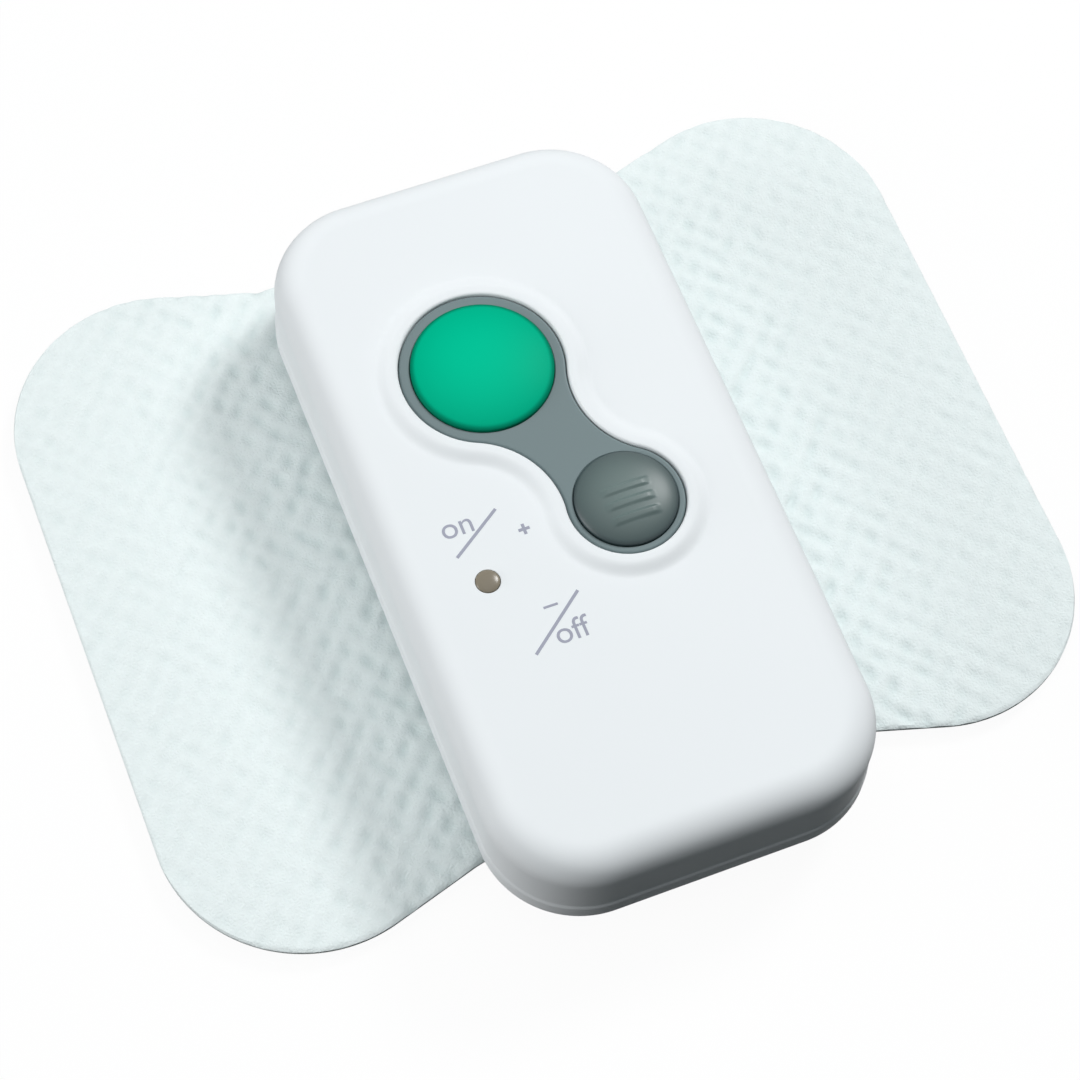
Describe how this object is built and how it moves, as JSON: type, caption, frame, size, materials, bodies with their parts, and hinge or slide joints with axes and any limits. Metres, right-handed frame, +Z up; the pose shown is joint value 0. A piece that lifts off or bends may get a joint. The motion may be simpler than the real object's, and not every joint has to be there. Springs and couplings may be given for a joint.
{
  "type": "tens unit",
  "caption": "Clip-on nerve stimulator: a white rounded controller with a green and a grey button, press-studded across a butterfly-shaped electrode pad.",
  "frame": {"origin": "middle of the footprint, at the height of the gel's lower faces", "axes": "+X across the controller, along the pad's wings; +Y along the controller, away from its coin cell end; +Z up"},
  "size_m": [0.093, 0.0785, 0.0178],
  "materials": {
    "white_case": "satin moulded white",
    "grey_bezel": "satin blue-grey",
    "green_button": "satin green",
    "grey_button": "glossy grey",
    "smoked_lens": "smoked clear plastic",
    "lamp_resin": "milky resin",
    "nonwoven": "embossed white non-woven",
    "gel": "clear tacky gel",
    "carbon_film": "matt black film",
    "nickel": "bright nickel plate",
    "spring_steel": "bright spring steel",
    "board": "green solder mask",
    "black_resin": "moulded black resin",
    "can": "drawn aluminium",
    "ferrite": "dull ferrite",
    "copper": "enamelled copper",
    "cell_steel": "nickel-plated steel"
  },
  "bodies": {
    "electrode_pad": {"pad_fabric": "nonwoven", "left_gel_pad": "gel", "right_gel_pad": "gel", "left_carbon_film": "carbon_film", "right_carbon_film": "carbon_film", "left_snap_stud": "nickel", "right_snap_stud": "nickel", "left_stud_eyelet": "nickel", "right_stud_eyelet": "nickel"},
    "controller": {"top_cover": "white_case", "bottom_cover": "white_case", "keypad_bezel": "grey_bezel", "led_lens": "smoked_lens", "led": "lamp_resin", "circuit_board": "board", "increase_switch": "black_resin", "decrease_switch": "black_resin", "microcontroller": "black_resin", "quartz_crystal": "can", "coil_core": "ferrite", "coil_winding": "copper", "output_capacitor": "can", "left_output_transistor": "black_resin", "right_output_transistor": "black_resin", "coin_cell": "cell_steel", "positive_contact": "spring_steel", "negative_contact": "spring_steel", "left_snap_socket": "nickel", "right_snap_socket": "nickel", "left_terminal_spring": "spring_steel", "right_terminal_spring": "spring_steel", "case_screw_front_left": "nickel", "case_screw_front_right": "nickel", "case_screw_rear_left": "nickel", "case_screw_rear_right": "nickel"},
    "battery_door": {"battery_door": "white_case"},
    "increase_button": {"increase_button": "green_button"},
    "increase_plunger": {"increase_plunger": "lamp_resin"},
    "decrease_button": {"decrease_button": "grey_button"},
    "decrease_plunger": {"decrease_plunger": "lamp_resin"}
  },
  "joints": [
    {"name": "unit_lift", "type": "slide", "parent": "electrode_pad", "child": "controller", "axis": [0, 0, 1], "range_m": [0, 0.02]},
    {"name": "increase_press", "type": "slide", "parent": "controller", "child": "increase_button", "axis": [0, 0, -1], "range_m": [0, 0.0005], "stiffness_N_per_m": 2000},
    {"name": "increase_plunger_press", "type": "slide", "parent": "controller", "child": "increase_plunger", "axis": [0, 0, -1], "range_m": [0, 0.0005]},
    {"name": "decrease_press", "type": "slide", "parent": "controller", "child": "decrease_button", "axis": [0, 0, -1], "range_m": [0, 0.0005], "stiffness_N_per_m": 2000},
    {"name": "decrease_plunger_press", "type": "slide", "parent": "controller", "child": "decrease_plunger", "axis": [0, 0, -1], "range_m": [0, 0.0005]},
    {"name": "door_turn", "type": "hinge", "parent": "controller", "child": "battery_door", "pos_m": [0, -0.02102, 0.0028], "axis": [0, 0, 1], "range_deg": [0, 40]}
  ],
  "couplings": [
    {"joint": "increase_plunger_press", "follows": "increase_press", "ratio": 1},
    {"joint": "decrease_plunger_press", "follows": "decrease_press", "ratio": 1}
  ]
}
